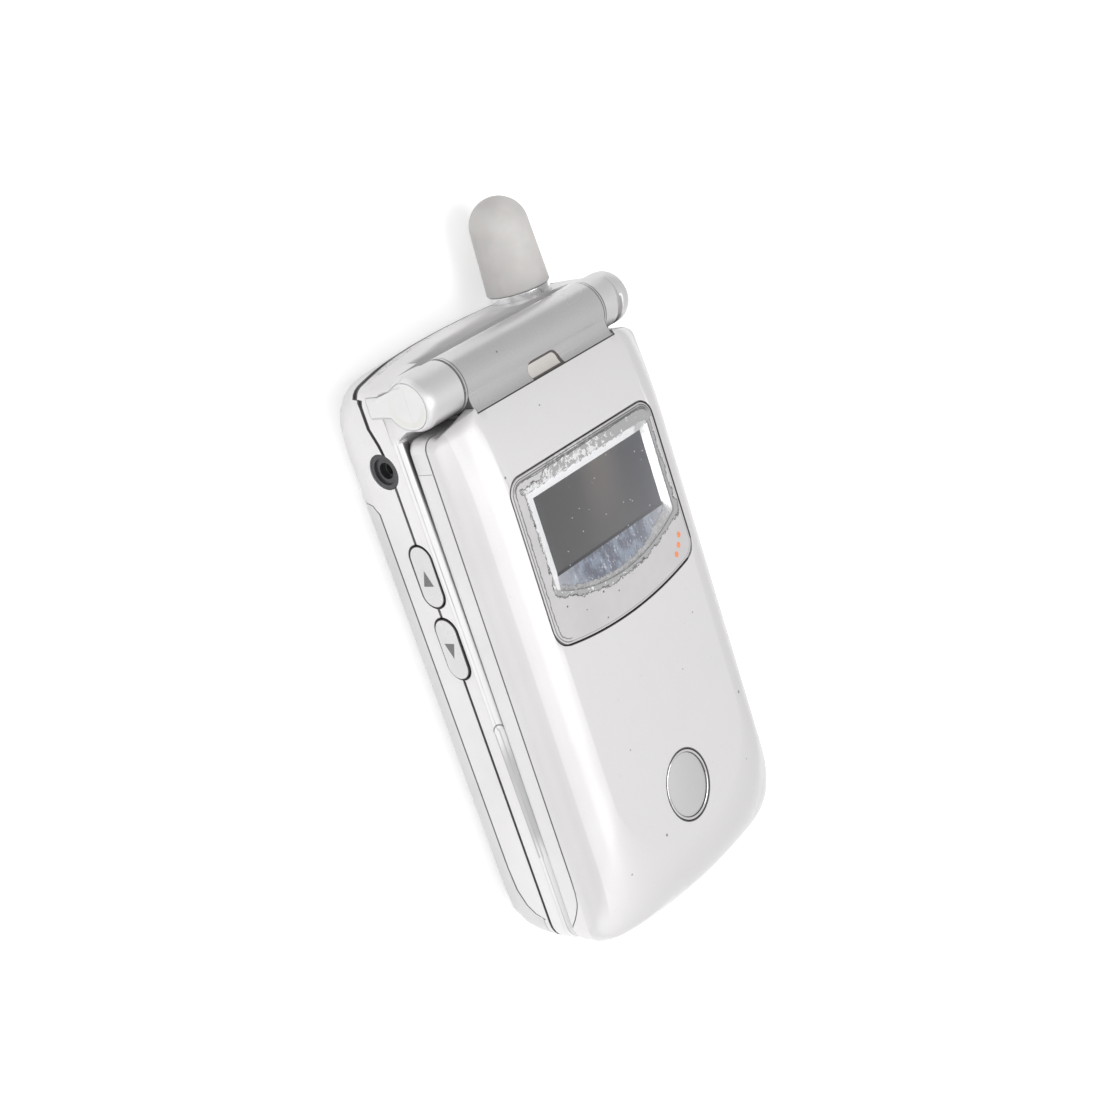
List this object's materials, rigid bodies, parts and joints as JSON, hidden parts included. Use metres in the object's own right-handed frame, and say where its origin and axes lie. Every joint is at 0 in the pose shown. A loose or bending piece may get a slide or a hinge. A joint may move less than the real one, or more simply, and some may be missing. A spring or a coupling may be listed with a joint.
{
  "type": "flip phone",
  "caption": "Closed silver clamshell phone with a stub antenna, a barrel hinge, an outer display with a mirror surround and a hinged flip over a keypad.",
  "frame": {"origin": "centre of the bounding box in X and Y, at the back face that the phone lies on", "axes": "+X to the right seen from the front, +Y towards the antenna, +Z out of the front of the closed flip"},
  "size_m": [0.0486, 0.1076, 0.0239],
  "materials": {
    "silver_paint": "satin silver paint",
    "strip_silver": "satin grey-silver paint",
    "barrel_silver": "satin bright silver",
    "antenna_rubber": "soft warm grey",
    "bright_metal": "bright",
    "steel": "plain",
    "black_plastic": "moulded",
    "window_beige": "translucent",
    "clear_lens": "clear",
    "dark_lens": "smoked",
    "display": "dark",
    "mirror": "silvered",
    "board_green": "solder mask",
    "key_silver": "satin",
    "flex_amber": "film",
    "bumper_rubber": "soft",
    "battery_case": "wrapped cell",
    "dome_film": "film"
  },
  "bodies": {
    "base": {"rear_housing": "silver_paint", "battery_pack": "battery_case", "battery_contacts": "black_plastic", "sim_holder": "steel", "front_housing": "silver_paint", "ear_cap_left": "barrel_silver", "ear_cap_right": "barrel_silver", "hinge_bushing": "steel", "hinge_cam_shaft": "steel", "main_board": "board_green", "shield_can": "steel", "keypad_domes": "dome_film", "microphone": "black_plastic", "accessory_connector": "black_plastic", "loudspeaker": "black_plastic", "headset_jack": "black_plastic", "antenna_collar": "bright_metal", "antenna_cap": "antenna_rubber", "housing_screws": "steel"},
    "flip": {"hinge_barrel": "barrel_silver", "hinge_cartridge": "steel", "hinge_flex": "flex_amber", "indicator_window": "window_beige", "flip_inner_housing": "strip_silver", "inner_lens": "dark_lens", "inner_display": "display", "earpiece": "black_plastic", "flip_board": "board_green", "outer_display": "display", "mirror_mask": "mirror", "outer_lens": "clear_lens", "flip_cover": "silver_paint", "badge": "barrel_silver", "vibration_motor": "steel", "flip_magnet": "steel", "flip_bumpers": "bumper_rubber", "flip_screws": "steel"},
    "motor_weight": {"motor_weight": "steel"},
    "battery_door": {"battery_door": "silver_paint"},
    "battery_latch": {"battery_latch": "silver_paint"},
    "nav_key": {"nav_key": "key_silver"},
    "soft_key_left": {"soft_key_left": "key_silver"},
    "soft_key_right": {"soft_key_right": "key_silver"},
    "call_key": {"call_key": "key_silver"},
    "end_key": {"end_key": "key_silver"},
    "key_1": {"key_1": "key_silver"},
    "key_2": {"key_2": "key_silver"},
    "key_3": {"key_3": "key_silver"},
    "key_4": {"key_4": "key_silver"},
    "key_5": {"key_5": "key_silver"},
    "key_6": {"key_6": "key_silver"},
    "key_7": {"key_7": "key_silver"},
    "key_8": {"key_8": "key_silver"},
    "key_9": {"key_9": "key_silver"},
    "key_star": {"key_star": "key_silver"},
    "key_0": {"key_0": "key_silver"},
    "key_hash": {"key_hash": "key_silver"},
    "volume_up_key": {"volume_up_key": "key_silver"},
    "volume_down_key": {"volume_down_key": "key_silver"},
    "side_key": {"side_key": "key_silver"}
  },
  "joints": [
    {"name": "flip_hinge", "type": "hinge", "parent": "base", "child": "flip", "pos_m": [0, 0.03465, 0.01733], "axis": [-1, 0, 0], "range_deg": [0, 150]},
    {"name": "motor_spin", "type": "hinge", "parent": "flip", "child": "motor_weight", "pos_m": [-0.014, -0.03975, 0.0182], "axis": [1, 0, 0], "continuous": true},
    {"name": "battery_door_slide", "type": "slide", "parent": "base", "child": "battery_door", "axis": [0, -1, 0], "range_m": [0, 0.008]},
    {"name": "battery_latch_slide", "type": "slide", "parent": "base", "child": "battery_latch", "axis": [0, 1, 0], "range_m": [0, 0.0012], "stiffness_N_per_m": 1700},
    {"name": "nav_key_press", "type": "slide", "parent": "base", "child": "nav_key", "axis": [0, 0, -1], "range_m": [0, 0.0004], "stiffness_N_per_m": 3750},
    {"name": "soft_key_left_press", "type": "slide", "parent": "base", "child": "soft_key_left", "axis": [0, 0, -1], "range_m": [0, 0.0004], "stiffness_N_per_m": 3750},
    {"name": "soft_key_right_press", "type": "slide", "parent": "base", "child": "soft_key_right", "axis": [0, 0, -1], "range_m": [0, 0.0004], "stiffness_N_per_m": 3750},
    {"name": "call_key_press", "type": "slide", "parent": "base", "child": "call_key", "axis": [0, 0, -1], "range_m": [0, 0.0004], "stiffness_N_per_m": 3750},
    {"name": "end_key_press", "type": "slide", "parent": "base", "child": "end_key", "axis": [0, 0, -1], "range_m": [0, 0.0004], "stiffness_N_per_m": 3750},
    {"name": "key_1_press", "type": "slide", "parent": "base", "child": "key_1", "axis": [0, 0, -1], "range_m": [0, 0.0004], "stiffness_N_per_m": 3750},
    {"name": "key_2_press", "type": "slide", "parent": "base", "child": "key_2", "axis": [0, 0, -1], "range_m": [0, 0.0004], "stiffness_N_per_m": 3750},
    {"name": "key_3_press", "type": "slide", "parent": "base", "child": "key_3", "axis": [0, 0, -1], "range_m": [0, 0.0004], "stiffness_N_per_m": 3750},
    {"name": "key_4_press", "type": "slide", "parent": "base", "child": "key_4", "axis": [0, 0, -1], "range_m": [0, 0.0004], "stiffness_N_per_m": 3750},
    {"name": "key_5_press", "type": "slide", "parent": "base", "child": "key_5", "axis": [0, 0, -1], "range_m": [0, 0.0004], "stiffness_N_per_m": 3750},
    {"name": "key_6_press", "type": "slide", "parent": "base", "child": "key_6", "axis": [0, 0, -1], "range_m": [0, 0.0004], "stiffness_N_per_m": 3750},
    {"name": "key_7_press", "type": "slide", "parent": "base", "child": "key_7", "axis": [0, 0, -1], "range_m": [0, 0.0004], "stiffness_N_per_m": 3750},
    {"name": "key_8_press", "type": "slide", "parent": "base", "child": "key_8", "axis": [0, 0, -1], "range_m": [0, 0.0004], "stiffness_N_per_m": 3750},
    {"name": "key_9_press", "type": "slide", "parent": "base", "child": "key_9", "axis": [0, 0, -1], "range_m": [0, 0.0004], "stiffness_N_per_m": 3750},
    {"name": "key_star_press", "type": "slide", "parent": "base", "child": "key_star", "axis": [0, 0, -1], "range_m": [0, 0.0004], "stiffness_N_per_m": 3750},
    {"name": "key_0_press", "type": "slide", "parent": "base", "child": "key_0", "axis": [0, 0, -1], "range_m": [0, 0.0004], "stiffness_N_per_m": 3750},
    {"name": "key_hash_press", "type": "slide", "parent": "base", "child": "key_hash", "axis": [0, 0, -1], "range_m": [0, 0.0004], "stiffness_N_per_m": 3750},
    {"name": "volume_up_key_press", "type": "slide", "parent": "base", "child": "volume_up_key", "axis": [1, 0, 0], "range_m": [0, 0.0004], "stiffness_N_per_m": 3750},
    {"name": "volume_down_key_press", "type": "slide", "parent": "base", "child": "volume_down_key", "axis": [1, 0, 0], "range_m": [0, 0.0004], "stiffness_N_per_m": 3750},
    {"name": "side_key_press", "type": "slide", "parent": "base", "child": "side_key", "axis": [-1, 0, 0], "range_m": [0, 0.0004], "stiffness_N_per_m": 3750}
  ]
}
